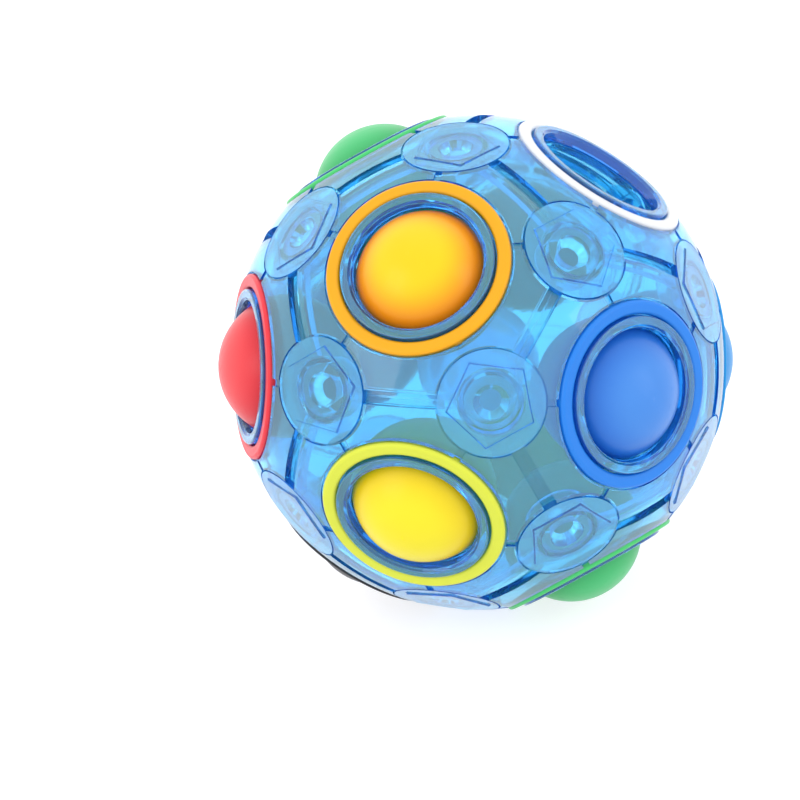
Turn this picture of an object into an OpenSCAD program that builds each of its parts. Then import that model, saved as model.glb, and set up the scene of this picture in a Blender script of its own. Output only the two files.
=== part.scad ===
// Round sliding-ball puzzle: twelve holes, eleven coloured balls and one empty hole.
// A ball is pressed in, passed under the seam and let out again at the empty hole.
// +Z is up, millimetres. The puzzle stands on the five-sided land of its lowest cap.

/* [Shell] */
// Radius of the round shell
shell_r = 35; // [34:0.5:45]
// Thickness of the shell's wall
shell_wall = 2.4; // [2:0.1:2.8]
// Width of the groove where two panels meet
groove_w = 2; // [1:0.1:3]
// Depth of that groove
groove_h = 1.1; // [0.4:0.1:1.4]
// Width of the flange on each side of a seam, inside the wall
flange_w = 1; // [0.6:0.1:1.6]
// How far the flange stands in from the wall
flange_h = 1; // [0.4:0.1:1.6]

/* [Balls] */
// Radius of a ball
ball_r = 10; // [8:0.1:10.3]
// How far a resting ball stands out of the shell's curve
ball_proud = 2.2; // [1.2:0.1:2.4]
// How much smaller the mouth's radius is than the ball's
lip_bite = 1; // [0.9:0.1:1.8]
// Gap between a resting ball and its seat
seat_gap = 0.18; // [0.08:0.01:0.25]

/* [Mouths and rings] */
// How much the funnel widens above the lip
funnel_flare = 0.45; // [0.2:0.05:0.7]
// Width of the clear rim, from the lip to the ring's pocket
rim_w = 1.9; // [1.3:0.05:2]
// Height of the clear rim above the ring
rim_step = 0.45; // [0.2:0.05:0.8]
// Rounding of the rim's edges
rim_round = 0.3; // [0.1:0.05:0.4]
// Depth of the collar below the lip
collar_h = 1.4; // [1:0.1:2]
// Wall of the collar at its lower edge
collar_wall = 1.3; // [0.8:0.1:1.8]
// Width of a coloured ring, across its section
ring_w = 1.95; // [1.4:0.05:2.2]
// Height of a coloured ring
ring_h = 1.3; // [0.9:0.1:1.6]
// How far the ring's outer edge stands out of the shell's curve
ring_proud = 0.45; // [0.2:0.05:0.8]
// Rounding of the ring's upper edges
ring_round = 0.5; // [0.2:0.05:0.6]
// Gap inside a ring
ring_gap_in = 0.15; // [0.05:0.05:0.3]
// Gap outside a ring
ring_gap_out = 0.3; // [0.1:0.05:0.5]

/* [Caps] */
// Width of the web left between a ring's pocket and a cap's seat
web_w = 1.5; // [1.2:0.05:2.4]
// Gap round a cap
cap_gap = 0.25; // [0.1:0.05:0.4]
// Thickness of a cap at its edge
cap_h = 0.9; // [0.6:0.1:1.1]
// Margin between a cap's edge and the corners of its land
land_margin = 1.25; // [1:0.05:2]
// How far the land's corners stand out of the shell's curve
land_proud = 0.05; // [0:0.05:0.3]
// Height of the land's sides at their middles
land_step = 0.18; // [0.05:0.01:0.2]
// Lean of the land's sides, in degrees
land_lean = 40; // [0:5:50]
// Width of the ledge round a cap's boss
ledge_w = 2.95; // [2.4:0.05:3.5]
// Wall of the boss under a cap
boss_wall = 0.7; // [0.5:0.1:1]
// Length of the boss
boss_h = 4.2; // [2.5:0.1:4.4]
// Gap round the boss
boss_gap = 0.25; // [0.1:0.05:0.4]
// Radius of the tapered peg where it leaves the cap
peg_r = 2.6; // [2:0.1:2.9]
// Radius of the peg's tip
peg_tip_r = 1.5; // [1:0.1:1.8]
// Length of the peg
peg_h = 3.2; // [2:0.1:4]
// Width of the key slot between a ring and a cap
key_w = 1; // [0.6:0.1:1.6]
// Depth of the key slot
key_h = 0.4; // [0.2:0.1:1]

/* [Core and travel] */
// How far outside a ball's seat the pivot of its sideways swing lies
pivot_out = 18; // [17:0.2:22]
// Gap between a passing ball and the core
core_gap = 0.3; // [0.2:0.05:1]
// Wall of the hollow core
core_wall = 1.6; // [1:0.1:3]

/* [Hidden] */
$fn = 96;
// Longer than any piece, for cuts that go right through
far = 2 * shell_r;

// Tilt from +Z of the upper holes, and of a panel's corners from its own hole
corner_tilt = acos(sqrt((5 + 2 * sqrt(5)) / 15));
// Tilt from +Z of the holes just above the waist
waist_tilt = acos(sqrt((5 - 2 * sqrt(5)) / 15));
// Tilt of a seam's middle from the holes at its sides
seam_tilt = acos(1 / sqrt(5)) / 2;

// Each hole's colour name, tilt from +Z, turn about +Z, and colour
holes = [
    ["orange", corner_tilt, -120, "#ffb80f"],
    ["white", corner_tilt, 0, "#f6f7fa"],
    ["green", corner_tilt, 120, "#62e39a"],
    ["blue", waist_tilt, -60, "#4e95f2"],
    ["teal", waist_tilt, 60, "#35c9b4"],
    ["red", waist_tilt, 180, "#ff5263"],
    ["yellow", 180 - waist_tilt, -120, "#f5f053"],
    ["cyan", 180 - waist_tilt, 0, "#3fbcff"],
    ["violet", 180 - waist_tilt, 120, "#9a6be8"],
    ["jade", 180 - corner_tilt, -60, "#4fd88c"],
    ["lime", 180 - corner_tilt, 60, "#b4e34a"],
    ["black", 180 - corner_tilt, 180, "#2b2c30"]
];
empty_hole = "white";
clear_blue = [0.33, 0.64, 1, 0.55];

// Directions of the holes, and the triples of neighbours that share a cap
axes = [for (h = holes) [sin(h[1]) * cos(h[2]), sin(h[1]) * sin(h[2]), cos(h[1])]];
function near(i, j) = axes[i] * axes[j] > 0.4;
corners = [
    for (i = [0:9], j = [i + 1:10], k = [j + 1:11])
        if (near(i, j) && near(j, k) && near(i, k)) [i, j, k]
];
// Which of its three holes each cap's land points a corner at
land_faces = [2, 2, 1, 0, 2, 1, 0, 2, 1, 0, 2, 1, 0, 2, 0, 1, 2, 0, 1, 2];

function tilt_of(v) = atan2(norm([v.x, v.y]), v.z);
function turn_of(v) = atan2(v.y, v.x);
// Spin about direction v that makes its own +X face direction w
function spin_to(v, w) =
    let (
        a = turn_of(v),
        t = tilt_of(v),
        x = w.x * cos(a) + w.y * sin(a),
        y = w.y * cos(a) - w.x * sin(a)
    )
    atan2(y, x * cos(t) - w.z * sin(t));
function corner_axis(c) = axes[c[0]] + axes[c[1]] + axes[c[2]];
function cap_name(c) =
    str("cap_", holes[c[0]][0], "_", holes[c[1]][0], "_", holes[c[2]][0]);

// Shell
inner_r = shell_r - shell_wall;
groove_r = shell_r - groove_h;
flange_r = inner_r - flange_h;

// Ball seat, measured along the hole's axis from the middle of the puzzle
station = shell_r + ball_proud - ball_r;
seat_r = ball_r + seat_gap;
mouth_r = ball_r - lip_bite;
lip_z = station + sqrt(seat_r * seat_r - mouth_r * mouth_r);
collar_z = lip_z - collar_h;
collar_r = sqrt(pow(seat_r, 2) - pow(collar_z - station, 2)) + collar_wall;

// Ring and rim
pocket_in_r = mouth_r + rim_w;
ring_in_r = pocket_in_r + ring_gap_in;
ring_out_r = ring_in_r + ring_w;
pocket_out_r = ring_out_r + ring_gap_out;
ring_top = sqrt(pow(shell_r, 2) - pow(ring_out_r, 2)) + ring_proud;
pocket_floor = ring_top - ring_h;
rim_top = ring_top + rim_step;

// Cap, in the direction of a panel's corner
pocket_tilt = asin(pocket_out_r / shell_r);
web_tilt = 2 * asin(web_w / shell_r / 2);
seat_tilt = corner_tilt - pocket_tilt - web_tilt;
cap_seat_r = shell_r * sin(seat_tilt);
cap_r = cap_seat_r - cap_gap;
cap_edge = sqrt(pow(shell_r, 2) - pow(cap_r, 2));
cap_floor = cap_edge - cap_h;
land_r = cap_r - land_margin;
land_mid_r = land_r * cos(36);
land_top = sqrt(pow(shell_r, 2) - pow(land_r, 2)) + land_proud;
land_h = land_top - cap_edge + land_step;
boss_r = cap_r - ledge_w;
boss_hole_r = boss_r + boss_gap;

// Core: it clears a ball that swings from one hole to the next
pivot_d = station + pivot_out;
swing_r = sqrt(pow(station, 2) + pow(pivot_d, 2) - 2 * station * pivot_d * cos(seam_tilt));
pass_d = pivot_d - swing_r;
core_r = pass_d - ball_r - core_gap;

// The middle of the puzzle is this far above what it stands on
centre_z = land_top;

// Puts a piece drawn along +Z in direction v, turned about it by spin
module along(v, spin = 0) {
    translate([0, 0, centre_z])
        rotate([0, tilt_of(v), turn_of(v)])
            rotate([0, 0, spin])
                children();
}

// The five seams round a hole: local +Z is the seam's middle and +X leads away from the hole
module at_seams() {
    for (k = [0:4])
        rotate([0, seam_tilt, 72 * k + 36])
            children();
}

// The five directions from a hole to its panel's corners, at a given tilt
module at_corners(tilt) {
    for (k = [0:4])
        rotate([0, tilt, 72 * k])
            children();
}

// A band along a seam, on this panel's side, outside radius r
module seam_band(width, r) {
    difference() {
        translate([-width, -far / 2, 0])
            cube([width + 1, far, far]);
        rotate([90, 0, 0])
            sphere(r = r);
    }
}

// A bar with rounded upper corners, as half of a ring's section
module rounded_bar(inner, outer, low, high, round_r) {
    translate([inner, low])
        square([outer - inner, high - low - round_r]);
    translate([inner + round_r, low])
        square([outer - inner - 2 * round_r, high - low]);
    for (x = [inner + round_r, outer - round_r])
        translate([x, high - round_r])
            circle(r = round_r, $fn = 48);
}

// Everything inside the wall, less the collar and the seam flanges
module panel_inside() {
    difference() {
        sphere(r = inner_r);
        translate([0, 0, collar_z])
            cylinder(r = collar_r, h = far);
        at_seams()
            seam_band(flange_w, flange_r);
    }
}

// The mouth: the seat's curve below the lip, a funnel above it, a chamfer at the rim
module panel_mouth() {
    funnel_h = rim_top - lip_z;
    translate([0, 0, station])
        sphere(r = seat_r);
    translate([0, 0, lip_z])
        cylinder(r1 = mouth_r, r2 = mouth_r + funnel_flare, h = funnel_h);
    translate([0, 0, rim_top - rim_round])
        cylinder(r1 = mouth_r + funnel_flare, r2 = mouth_r + funnel_flare + 2 * rim_round, h = 2 * rim_round);
}

// The solid that a panel is cut from: the ball, sunk for the ring, with the rim standing up
module panel_blank() {
    difference() {
        sphere(r = shell_r);
        translate([0, 0, pocket_floor])
            cylinder(r = pocket_out_r, h = far);
    }
    rotate_extrude()
        rounded_bar(mouth_r - rim_round, pocket_in_r, station, rim_top, rim_round);
}

module cap_seat() {
    translate([0, 0, cap_floor])
        cylinder(r = cap_seat_r, h = far);
    translate([0, 0, station / 2])
        cylinder(r = boss_hole_r, h = far);
}

module key_slot() {
    translate([-web_w, -key_w / 2, shell_r - key_h])
        cube([2 * web_w, key_w, far]);
}

module panel(i) {
    color(clear_blue)
        along(axes[i], holes[i][1] < 90 ? 180 : 0)
            difference() {
                panel_blank();
                panel_inside();
                panel_mouth();
                at_seams()
                    translate([0, -far / 2, -far / 2])
                        cube(far);
                at_seams()
                    seam_band(groove_w / 2, groove_r);
                at_corners(corner_tilt)
                    cap_seat();
                at_corners(pocket_tilt + web_tilt / 2)
                    key_slot();
            }
}

module ring(i) {
    color(holes[i][3])
        along(axes[i])
            rotate_extrude()
                rounded_bar(ring_in_r, ring_out_r, pocket_floor, ring_top, ring_round);
}

module ball(i) {
    color(holes[i][3])
        along(axes[i])
            translate([0, 0, station])
                sphere(r = ball_r);
}

// Cuts the five leaning sides of a land
module land_sides() {
    for (k = [0:4])
        rotate([0, 0, 72 * k + 36])
            translate([land_mid_r, 0, land_top])
                rotate([0, -land_lean, 0])
                    translate([0, -far / 2, -far / 2])
                        cube(far);
}

// A cap: a disc that slopes up to its five-sided land, with a hollow boss and a tapered peg below
module cap(n) {
    v = corner_axis(corners[n]);
    faced = axes[corners[n][land_faces[n]]];
    color(clear_blue)
        along(v, spin_to(v, faced)) {
            translate([0, 0, cap_floor])
                cylinder(r = cap_r, h = cap_h);
            translate([0, 0, cap_edge])
                cylinder(r1 = cap_r, r2 = land_mid_r, h = land_top - land_step - cap_edge);
            difference() {
                translate([0, 0, land_top - land_h])
                    cylinder(r = cap_r, h = land_h);
                land_sides();
            }
            translate([0, 0, cap_floor - boss_h])
                difference() {
                    cylinder(r = boss_r, h = boss_h + cap_h / 2);
                    translate([0, 0, -1])
                        cylinder(r = boss_r - boss_wall, h = boss_h + 1);
                }
            translate([0, 0, cap_floor - peg_h])
                cylinder(r1 = peg_tip_r, r2 = peg_r, h = peg_h + cap_h / 2);
        }
}

// The loose core in the middle, a plain hollow ball
module core() {
    color(clear_blue)
        translate([0, 0, centre_z])
            difference() {
                sphere(r = core_r);
                sphere(r = core_r - core_wall);
            }
}

for (i = [0:len(holes) - 1])
    panel(i);
for (i = [0:len(holes) - 1])
    ring(i);
for (i = [0:len(holes) - 1])
    if (holes[i][0] != empty_hole)
        ball(i);
for (n = [0:len(corners) - 1])
    cap(n);
core();
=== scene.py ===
import math

import bpy
from mathutils import Matrix, Vector


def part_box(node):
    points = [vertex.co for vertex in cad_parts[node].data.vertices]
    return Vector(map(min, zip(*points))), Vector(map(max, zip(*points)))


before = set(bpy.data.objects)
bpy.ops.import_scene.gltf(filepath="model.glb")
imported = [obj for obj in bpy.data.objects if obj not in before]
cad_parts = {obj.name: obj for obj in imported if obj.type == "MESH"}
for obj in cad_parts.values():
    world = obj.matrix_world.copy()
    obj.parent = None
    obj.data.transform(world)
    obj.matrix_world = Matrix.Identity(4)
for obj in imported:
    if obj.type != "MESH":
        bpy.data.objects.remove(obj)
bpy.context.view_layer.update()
scene = bpy.context.scene
mm = 0.001

coreLow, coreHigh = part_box("core")
middle = (coreLow + coreHigh) / 2  # the middle of the round shell
print("frame in:", len(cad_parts), "nodes")


# camera, first of all
shot = {
    "azimuth": -9.99,  # degrees round the puzzle, 0 looks along +Y
    "elevation": 28.97,
    "roll": -5.91,
    "distance": 700 * mm,
    "lens": 222.7,
    "sensor": 36.0,
    "shiftX": -0.0975,
    "shiftY": -0.0471,
    "nearest": 10 * mm,
    "farthest": 20,
}


def makeCamera():
    cam = bpy.data.objects.new("camera", bpy.data.cameras.new("camera"))
    scene.collection.objects.link(cam)
    azimuth = math.radians(shot["azimuth"])
    elevation = math.radians(shot["elevation"])
    level = math.cos(elevation)
    back = Vector((math.sin(azimuth) * level, -math.cos(azimuth) * level, math.sin(elevation)))
    roll = Matrix.Rotation(math.radians(shot["roll"]), 4, "Z").to_quaternion()
    cam.location = middle + back * shot["distance"]
    cam.rotation_mode = "QUATERNION"
    cam.rotation_quaternion = (-back).to_track_quat("-Z", "Y") @ roll
    cam.data.sensor_width = shot["sensor"]
    cam.data.lens = shot["lens"]
    cam.data.shift_x = shot["shiftX"]
    cam.data.shift_y = shot["shiftY"]
    cam.data.clip_start = shot["nearest"]
    cam.data.clip_end = shot["farthest"]
    scene.camera = cam


makeCamera()
print("camera set")


# the studio: a white room and three soft boxes
studio = {
    "room": 1.6,
    "bounces": 32,  # a look through the ball crosses many clear walls
    "glossyBounces": 5,
    "diffuseBounces": 4,
    "boxes": {
        "left box": {"at": (-0.50, -0.22, 0.30), "size": (0.34, 0.34), "power": 0.6},
        "right box": {"at": (0.46, -0.30, 0.22), "size": (0.22, 0.34), "power": 0.35},
        "top box": {"at": (0.05, 0.10, 0.60), "size": (0.45, 0.45), "power": 0.2},
    },
}


def softBox(name, box):
    lamp = bpy.data.lights.new(name, "AREA")
    lamp.shape = "RECTANGLE"
    lamp.size, lamp.size_y = box["size"]
    lamp.energy = box["power"]
    holder = bpy.data.objects.new(name, lamp)
    scene.collection.objects.link(holder)
    holder.location = box["at"]
    holder.rotation_mode = "QUATERNION"
    holder.rotation_quaternion = (middle - Vector(box["at"])).to_track_quat("-Z", "Y")


def lightStudio():
    room = bpy.data.worlds.new("white room")
    room.use_nodes = True
    back = room.node_tree.nodes["Background"]
    back.inputs["Color"].default_value = (1, 1, 1, 1)
    back.inputs["Strength"].default_value = studio["room"]
    scene.world = room
    for name, box in studio["boxes"].items():
        softBox(name, box)
    scene.view_settings.view_transform = "Standard"
    scene.cycles.max_bounces = studio["bounces"]
    scene.cycles.transmission_bounces = studio["bounces"]
    scene.cycles.transparent_max_bounces = studio["bounces"]
    scene.cycles.glossy_bounces = studio["glossyBounces"]
    scene.cycles.diffuse_bounces = studio["diffuseBounces"]
    scene.cycles.use_denoising = True


lightStudio()
print("studio lit")


# helpers for colours and node trees
def paint(code):
    parts = [int(code[i:i + 2], 16) / 255 for i in (1, 3, 5)]
    return tuple(c / 12.92 if c < 0.04045 else ((c + 0.055) / 1.055) ** 2.4 for c in parts) + (1,)


def darker(colour, share):
    return tuple(c * share for c in colour[:3]) + (1,)


def addNode(tree, kind, x, y, sockets=None, **settings):
    node = tree.nodes.new("ShaderNode" + kind)
    node.location = (x, y)
    for name, value in settings.items():
        setattr(node, name, value)
    for name, value in (sockets or {}).items():
        node.inputs[name].default_value = value
    return node


def wire(tree, *pairs):
    for start, end in pairs:
        tree.links.new(start, end)


def startGroup(name, inputs, outputs):
    tree = bpy.data.node_groups.new(name, "ShaderNodeTree")
    for label, kind, value in inputs:
        socket = tree.interface.new_socket(label, in_out="INPUT", socket_type="NodeSocket" + kind)
        if value is not None:
            socket.default_value = value
    for label, kind in outputs:
        tree.interface.new_socket(label, in_out="OUTPUT", socket_type="NodeSocket" + kind)
    come = tree.nodes.new("NodeGroupInput")
    go = tree.nodes.new("NodeGroupOutput")
    come.location = (-1300, 0)
    go.location = (500, 0)
    return tree, come.outputs, go.inputs


def useGroup(tree, group, x, y, sockets=None):
    return addNode(tree, "Group", x, y, sockets, node_tree=group)


def sizedNoise(tree, size, where, x, y, **sockets):
    # a noise texture whose lumps are about that many millimetres across
    scale = addNode(tree, "Math", x - 220, y, {0: 1 / mm}, operation="DIVIDE")
    noise = addNode(tree, "TexNoise", x, y, sockets)
    wire(
        tree,
        (size, scale.inputs[1]),
        (scale.outputs[0], noise.inputs["Scale"]),
        (where, noise.inputs["Vector"]),
    )
    return noise.outputs["Fac"]


# moulded skin: the fine orange peel of polished plastic, and how its shine drifts
def buildSkin():
    tree, come, go = startGroup(
        "moulded skin",
        [("Vector", "Vector", None), ("Peel Size", "Float", 0.6), ("Drift Size", "Float", 9.0),
         ("Roughness", "Float", 0.3), ("Roughness Drift", "Float", 0.08)],
        [("Height", "Float"), ("Roughness", "Float")],
    )
    where = come["Vector"]
    peel = sizedNoise(tree, come["Peel Size"], where, -450, 150, Detail=3.0, Roughness=0.55)
    drift = sizedNoise(tree, come["Drift Size"], where, -450, -150, Detail=2.0, Roughness=0.5, Distortion=0.6)
    centred = addNode(tree, "Math", -220, -150, {1: 0.5}, operation="SUBTRACT")
    spread = addNode(tree, "Math", -40, -150, operation="MULTIPLY_ADD")
    wire(
        tree,
        (drift, centred.inputs[0]),
        (centred.outputs[0], spread.inputs[0]),
        (come["Roughness Drift"], spread.inputs[1]),
        (come["Roughness"], spread.inputs[2]),
        (peel, go["Height"]),
        (spread.outputs[0], go["Roughness"]),
    )
    return tree


# handling marks: hairline scratches from play in three directions, as a mask
hairlines = {
    "turns": (0.5, 1.9, 3.1),
    "squeeze": (1, 34, 6),  # how much finer a hairline is across than along
    "faintest": 0.66,
    "full": 0.72,
}


def buildMarks():
    tree, come, go = startGroup(
        "handling marks",
        [("Vector", "Vector", None), ("Length", "Float", 7.0), ("Amount", "Float", 0.5)],
        [("Mask", "Float")],
    )
    found = None
    for row, turn in enumerate(hairlines["turns"]):
        y = 300 - 300 * row
        bend = addNode(tree, "Mapping", -900, y)
        bend.inputs["Rotation"].default_value = (turn, turn * 0.7, turn * 1.3)
        bend.inputs["Scale"].default_value = hairlines["squeeze"]
        noise = sizedNoise(tree, come["Length"], bend.outputs[0], -480, y, Detail=1.0, Roughness=0.4)
        line = addNode(tree, "MapRange", -260, y, {
            "From Min": hairlines["faintest"], "From Max": hairlines["full"]})
        wire(tree, (come["Vector"], bend.inputs["Vector"]), (noise, line.inputs["Value"]))
        if found is None:
            found = line.outputs[0]
            continue
        most = addNode(tree, "Math", -60 + 160 * row, y, operation="MAXIMUM")
        wire(tree, (found, most.inputs[0]), (line.outputs[0], most.inputs[1]))
        found = most.outputs[0]
    share = addNode(tree, "Math", 420, 0, operation="MULTIPLY")
    wire(tree, (found, share.inputs[0]), (come["Amount"], share.inputs[1]), (share.outputs[0], go["Mask"]))
    return tree


# pigment drift: two shades of one colour, swirled as the melt ran into the mould
def buildPigment():
    tree, come, go = startGroup(
        "pigment drift",
        [("Vector", "Vector", None), ("Colour", "Color", (1, 1, 1, 1)),
         ("Other Colour", "Color", (1, 1, 1, 1)), ("Swirl Size", "Float", 8.0)],
        [("Colour", "Color")],
    )
    swirl = sizedNoise(tree, come["Swirl Size"], come["Vector"], -480, 0,
                       Detail=4.0, Roughness=0.6, Distortion=1.4)
    blend = addNode(tree, "Mix", -60, 0, data_type="RGBA")
    wire(
        tree,
        (swirl, blend.inputs["Factor"]),
        (come["Colour"], blend.inputs["A"]),
        (come["Other Colour"], blend.inputs["B"]),
        (blend.outputs["Result"], go["Colour"]),
    )
    return tree


# side shade fade: the mask of a ball's painted side shade, 0 at the pole of the ball that faces out of its
# hole, 1 well round its side
def buildPaintedSideFade():
    tree, come, go = startGroup(
        "painted side shade fade",
        [("Vector", "Vector", None), ("Centre", "Vector", None), ("Pole", "Vector", None),
         ("Start", "Float", 20.0), ("End", "Float", 60.0)],
        [("Mask", "Float")],
    )
    away = addNode(tree, "VectorMath", -700, 0, operation="SUBTRACT")
    unit = addNode(tree, "VectorMath", -520, 0, operation="NORMALIZE")
    along = addNode(tree, "VectorMath", -340, 0, operation="DOT_PRODUCT")
    angle = addNode(tree, "Math", -160, 0, operation="ARCCOSINE")
    degrees = addNode(tree, "Math", 0, 0, operation="DEGREES")
    fade = addNode(tree, "MapRange", 160, 0, interpolation_type="SMOOTHSTEP")
    wire(
        tree,
        (come["Vector"], away.inputs[0]),
        (come["Centre"], away.inputs[1]),
        (away.outputs[0], unit.inputs[0]),
        (unit.outputs[0], along.inputs[0]),
        (come["Pole"], along.inputs[1]),
        (along.outputs["Value"], angle.inputs[0]),
        (angle.outputs[0], degrees.inputs[0]),
        (degrees.outputs[0], fade.inputs["Value"]),
        (come["Start"], fade.inputs["From Min"]),
        (come["End"], fade.inputs["From Max"]),
        (fade.outputs[0], go["Mask"]),
    )
    return tree


# wall depth: 1 on the polished outside of the shell, 0 on the satin inside
def buildDepth():
    tree, come, go = startGroup(
        "wall depth",
        [("Vector", "Vector", None), ("Centre", "Vector", None),
         ("Inside", "Float", 32.7), ("Outside", "Float", 33.1)],
        [("Mask", "Float")],
    )
    away = addNode(tree, "VectorMath", -500, 0, operation="DISTANCE")
    millimetres = addNode(tree, "Math", -320, 0, {1: 1 / mm}, operation="MULTIPLY")
    fade = addNode(tree, "MapRange", -140, 0)
    wire(
        tree,
        (come["Vector"], away.inputs[0]),
        (come["Centre"], away.inputs[1]),
        (away.outputs["Value"], millimetres.inputs[0]),
        (millimetres.outputs[0], fade.inputs["Value"]),
        (come["Inside"], fade.inputs["From Min"]),
        (come["Outside"], fade.inputs["From Max"]),
        (fade.outputs[0], go["Mask"]),
    )
    return tree


# steep faces: 1 where a face near the outside leans away from the shell's curve; this places a painted shade
# of deeper blue on such faces, groove walls among them
def buildPaintedSteepShade():
    tree, come, go = startGroup(
        "painted steep shade",
        [("Vector", "Vector", None), ("Normal", "Vector", None), ("Centre", "Vector", None),
         ("Lowest", "Float", 33.0), ("Flat", "Float", 0.93), ("Steep", "Float", 0.82),
         ("Amount", "Float", 0.8)],
        [("Mask", "Float")],
    )
    away = addNode(tree, "VectorMath", -800, 100, operation="SUBTRACT")
    unit = addNode(tree, "VectorMath", -620, 100, operation="NORMALIZE")
    lean = addNode(tree, "VectorMath", -440, 100, operation="DOT_PRODUCT")
    either = addNode(tree, "Math", -260, 100, operation="ABSOLUTE")
    steep = addNode(tree, "MapRange", -80, 100)
    reach = addNode(tree, "VectorMath", -620, -150, operation="LENGTH")
    millimetres = addNode(tree, "Math", -440, -150, {1: 1 / mm}, operation="MULTIPLY")
    outer = addNode(tree, "Math", -260, -150, operation="GREATER_THAN")
    both = addNode(tree, "Math", 100, 0, operation="MULTIPLY")
    share = addNode(tree, "Math", 260, 0, operation="MULTIPLY")
    wire(
        tree,
        (come["Vector"], away.inputs[0]),
        (come["Centre"], away.inputs[1]),
        (away.outputs[0], unit.inputs[0]),
        (unit.outputs[0], lean.inputs[0]),
        (come["Normal"], lean.inputs[1]),
        (lean.outputs["Value"], either.inputs[0]),
        (either.outputs[0], steep.inputs["Value"]),
        (come["Flat"], steep.inputs["From Min"]),
        (come["Steep"], steep.inputs["From Max"]),
        (away.outputs[0], reach.inputs[0]),
        (reach.outputs["Value"], millimetres.inputs[0]),
        (millimetres.outputs[0], outer.inputs[0]),
        (come["Lowest"], outer.inputs[1]),
        (steep.outputs[0], both.inputs[0]),
        (outer.outputs[0], both.inputs[1]),
        (both.outputs[0], share.inputs[0]),
        (come["Amount"], share.inputs[1]),
        (share.outputs[0], go["Mask"]),
    )
    return tree


skin = buildSkin()
marks = buildMarks()
pigment = buildPigment()
pole = buildPaintedSideFade()
depth = buildDepth()
sides = buildPaintedSteepShade()
print("finishes built")


def startMaterial(name):
    mat = bpy.data.materials.new(name)
    mat.use_nodes = True
    tree = mat.node_tree
    shader = tree.nodes["Principled BSDF"]
    where = addNode(tree, "TexCoord", -1300, 0)
    return mat, tree, shader, where.outputs


def shadeSkin(tree, shader, where, look):
    # peel and hairlines on the surface, and the shine that goes with them
    peel = useGroup(tree, skin, -1000, -200, {
        "Peel Size": look["peelSize"], "Drift Size": look["driftSize"],
        "Roughness": look["roughness"], "Roughness Drift": look["roughnessDrift"]})
    lines = useGroup(tree, marks, -1000, -500, {"Length": look["markLength"], "Amount": look["markAmount"]})
    rougher = addNode(tree, "Math", -700, -250, operation="ADD")
    height = addNode(tree, "Math", -700, -450, operation="SUBTRACT")
    bump = addNode(tree, "Bump", -450, -450, {"Strength": look["bump"], "Distance": look["bumpDepth"] * mm})
    wire(
        tree,
        (where["Object"], peel.inputs["Vector"]),
        (where["Object"], lines.inputs["Vector"]),
        (peel.outputs["Roughness"], rougher.inputs[0]),
        (lines.outputs["Mask"], rougher.inputs[1]),
        (peel.outputs["Height"], height.inputs[0]),
        (lines.outputs["Mask"], height.inputs[1]),
        (height.outputs[0], bump.inputs["Height"]),
        (bump.outputs[0], shader.inputs["Normal"]),
    )
    return rougher.outputs[0]


# the clear blue plastic of the shell, its caps and the core
clearLook = {
    "peelSize": 2.6, "driftSize": 12, "roughness": 0.03, "roughnessDrift": 0.02,
    "markLength": 9, "markAmount": 0.05, "bump": 0.35, "bumpDepth": 0.03,
    "tint": "#98eaff", "otherTint": "#8ce2ff", "swirlSize": 14,
    # painted edge shade: a deeper blue on steep faces, standing in for plastic seen edge-on
    "paintedEdgeShade": "#1f86e6", "paintedEdgeAmount": 0.85,
    "clearness": 0.88, "bend": 1.49, "satinInside": 0.06,
    "taken": (130, 28, 2),  # how much red, green and blue a metre of it takes away
    "lampTint": (0.60, 0.88, 1.0, 1),
}
capLook = {**clearLook, "peelSize": 2.0, "satinInside": 0.08, "taken": (120, 26, 2)}
coreLook = {**clearLook, "clearness": 0.85, "satinInside": 0.16}


def tintClearAndPaintShade(tree, shader, where, look):
    # two swirled tints, and a painted shade of deeper blue on steep faces, standing in for the deeper look of
    # plastic seen edge-on
    shades = useGroup(tree, pigment, -1000, 200, {
        "Colour": paint(look["tint"]), "Other Colour": paint(look["otherTint"]),
        "Swirl Size": look["swirlSize"]})
    steep = useGroup(tree, sides, -1000, 450, {"Centre": middle, "Amount": look["paintedEdgeAmount"]})
    paintedDeeperBlue = addNode(tree, "Mix", -450, 250, data_type="RGBA")
    paintedDeeperBlue.inputs["B"].default_value = paint(look["paintedEdgeShade"])
    wire(
        tree,
        (where["Object"], shades.inputs["Vector"]),
        (where["Object"], steep.inputs["Vector"]),
        (where["Normal"], steep.inputs["Normal"]),
        (steep.outputs["Mask"], paintedDeeperBlue.inputs["Factor"]),
        (shades.outputs["Colour"], paintedDeeperBlue.inputs["A"]),
        (paintedDeeperBlue.outputs["Result"], shader.inputs["Base Color"]),
    )


def clearPlastic(name, look):
    mat, tree, shader, where = startMaterial(name)
    tintClearAndPaintShade(tree, shader, where, look)
    rough = shadeSkin(tree, shader, where, look)
    wall = useGroup(tree, depth, -1000, 0, {"Centre": middle})
    satin = addNode(tree, "Mix", -450, 0, data_type="FLOAT")
    satin.inputs["A"].default_value = look["satinInside"]
    shader.inputs["Transmission Weight"].default_value = look["clearness"]
    shader.inputs["IOR"].default_value = look["bend"]
    lampSide = addNode(tree, "BsdfTransparent", 100, -200, {"Color": look["lampTint"]})
    ray = addNode(tree, "LightPath", 100, 300)
    either = addNode(tree, "MixShader", 350, 0)
    most = max(look["taken"])
    body = addNode(tree, "VolumeAbsorption", 350, -250, {"Density": most})
    body.inputs["Color"].default_value = tuple(1 - t / most for t in look["taken"]) + (1,)
    out = tree.nodes["Material Output"]
    out.location = (600, 0)
    wire(
        tree,
        (where["Object"], wall.inputs["Vector"]),
        (wall.outputs["Mask"], satin.inputs["Factor"]),
        (rough, satin.inputs["B"]),
        (satin.outputs["Result"], shader.inputs["Roughness"]),
        (ray.outputs["Is Shadow Ray"], either.inputs["Fac"]),
        (shader.outputs[0], either.inputs[1]),
        (lampSide.outputs[0], either.inputs[2]),
        (either.outputs[0], out.inputs["Surface"]),
        (body.outputs[0], out.inputs["Volume"]),
    )
    return mat


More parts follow.
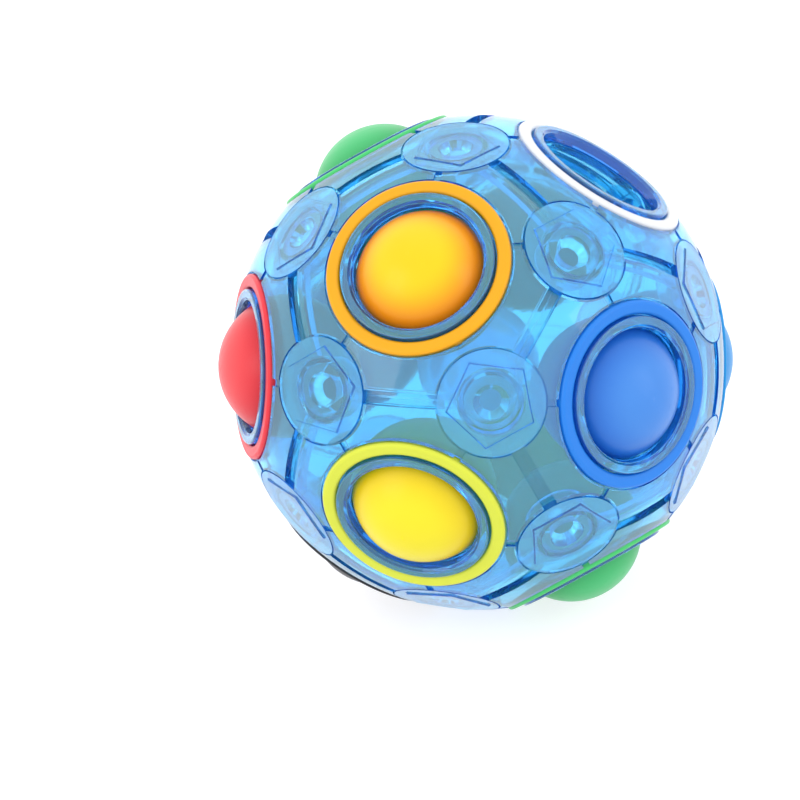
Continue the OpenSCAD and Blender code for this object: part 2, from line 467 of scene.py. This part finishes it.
def opaquePlastic(mat, tree, shader, where, shades, look):
    # shades holds two colours, or two sockets that give them
    swirled = useGroup(tree, pigment, -500, 200, {"Swirl Size": look["swirlSize"]})
    for name, shade in zip(("Colour", "Other Colour"), shades):
        if isinstance(shade, tuple):
            swirled.inputs[name].default_value = shade
        else:
            wire(tree, (shade, swirled.inputs[name]))
    wire(
        tree,
        (where["Object"], swirled.inputs["Vector"]),
        (swirled.outputs["Colour"], shader.inputs["Base Color"]),
        (shadeSkin(tree, shader, where, look), shader.inputs["Roughness"]),
    )
    shader.inputs["Specular IOR Level"].default_value = look["gleam"]
    return mat


# the coloured rings
ringColours = {
    "orange": "#d29304", "white": "#ccced0", "green": "#3db362", "blue": "#1a70c8",
    "teal": "#037c73", "red": "#cc2c38", "yellow": "#bfc638", "cyan": "#0381c2",
    "violet": "#6b2697", "jade": "#3db362", "lime": "#74b003", "black": "#141416",
}
ringLook = {
    "peelSize": 1.1, "driftSize": 7, "roughness": 0.34, "roughnessDrift": 0.10,
    "markLength": 6, "markAmount": 0.10, "bump": 0.25, "bumpDepth": 0.02,
    "swirlSize": 6, "shadeDown": 0.90, "gleam": 0.25,
}


def ringPlastic(colour):
    base = paint(ringColours[colour])
    shades = base, darker(base, ringLook["shadeDown"])
    return opaquePlastic(*startMaterial("ring " + colour), shades, ringLook)


# the balls, each with its own colour at the pole that faces out and a painted shade round its side
ballColoursAndPaintedShade = {
    "orange": ("#d8b202", "#d27402"), "green": ("#40ac6a", "#309856"), "blue": ("#3a77c2", "#1a5cb4"),
    "teal": ("#037c73", "#036d66"), "red": ("#cc4044", "#c0222e"), "yellow": ("#d2c41a", "#d2b404"),
    "cyan": ("#0381c2", "#0373b4"), "violet": ("#6b2697", "#5e1f88"), "jade": ("#40ac6a", "#309856"),
    "lime": ("#74b003", "#68a003"), "black": ("#18181b", "#121214"),
}
ballLook = {
    "peelSize": 1.4, "driftSize": 8, "roughness": 0.33, "roughnessDrift": 0.12,
    "markLength": 8, "markAmount": 0.12, "bump": 0.22, "bumpDepth": 0.02,
    "swirlSize": 9, "shadeDown": 0.93, "gleam": 0.25,
    # painted side shade: the angles where it begins and where it is full
    "paintedShadeStart": 22, "paintedShadeEnd": 62,  # degrees from the pole
}


def ballPlastic(colour):
    mat, tree, shader, where = startMaterial("ball " + colour)
    low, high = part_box("ball_" + colour)
    centre = (low + high) / 2
    fade = useGroup(tree, pole, -1000, 400, {
        "Centre": centre, "Pole": (centre - middle).normalized(),
        "Start": ballLook["paintedShadeStart"], "End": ballLook["paintedShadeEnd"]})
    wire(tree, (where["Object"], fade.inputs["Vector"]))
    shades = []
    # both swirled colours run from the ball's own colour at the pole to its painted side shade
    for y, share in ((300, 1), (100, ballLook["shadeDown"])):
        blend = addNode(tree, "Mix", -750, y, data_type="RGBA")
        for name, code in zip("AB", ballColoursAndPaintedShade[colour]):
            blend.inputs[name].default_value = darker(paint(code), share)
        wire(tree, (fade.outputs["Mask"], blend.inputs["Factor"]))
        shades.append(blend.outputs["Result"])
    return opaquePlastic(mat, tree, shader, where, shades, ballLook)


# the sheet of white card it stands on
cardLook = {
    "size": 6.0, "colour": (0.42, 0.42, 0.45, 1), "lift": 0.72,  # the lift keeps its shadows faint
    "peelSize": 0.8, "driftSize": 60, "roughness": 0.7, "roughnessDrift": 0.1,
    "markLength": 40, "markAmount": 0.02, "bump": 0.10, "bumpDepth": 0.03,
    "swirlSize": 80, "shadeDown": 0.985, "gleam": 0.3,
}


def layCard():
    half = cardLook["size"] / 2
    sheet = bpy.data.meshes.new("white card")
    corners = [(-half, -half, 0), (half, -half, 0), (half, half, 0), (-half, half, 0)]
    sheet.from_pydata(corners, [], [(0, 1, 2, 3)])
    card = bpy.data.objects.new("white card", sheet)
    scene.collection.objects.link(card)
    mat, tree, shader, where = startMaterial("white card")
    shader.inputs["Emission Color"].default_value = (1, 1, 1, 1)
    shader.inputs["Emission Strength"].default_value = cardLook["lift"]
    shades = cardLook["colour"], darker(cardLook["colour"], cardLook["shadeDown"])
    sheet.materials.append(opaquePlastic(mat, tree, shader, where, shades, cardLook))


def dress():
    clear = {
        "panel": clearPlastic("clear shell", clearLook),
        "cap": clearPlastic("clear cap", capLook),
        "core": clearPlastic("clear core", coreLook),
    }
    coloured = {"ring": ringPlastic, "ball": ballPlastic}
    for name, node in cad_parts.items():
        kind, _, colour = name.partition("_")
        mat = coloured[kind](colour) if kind in coloured else clear[kind]
        node.data.materials.clear()
        node.data.materials.append(mat)


layCard()
print("card laid")
dress()
print("materials on")
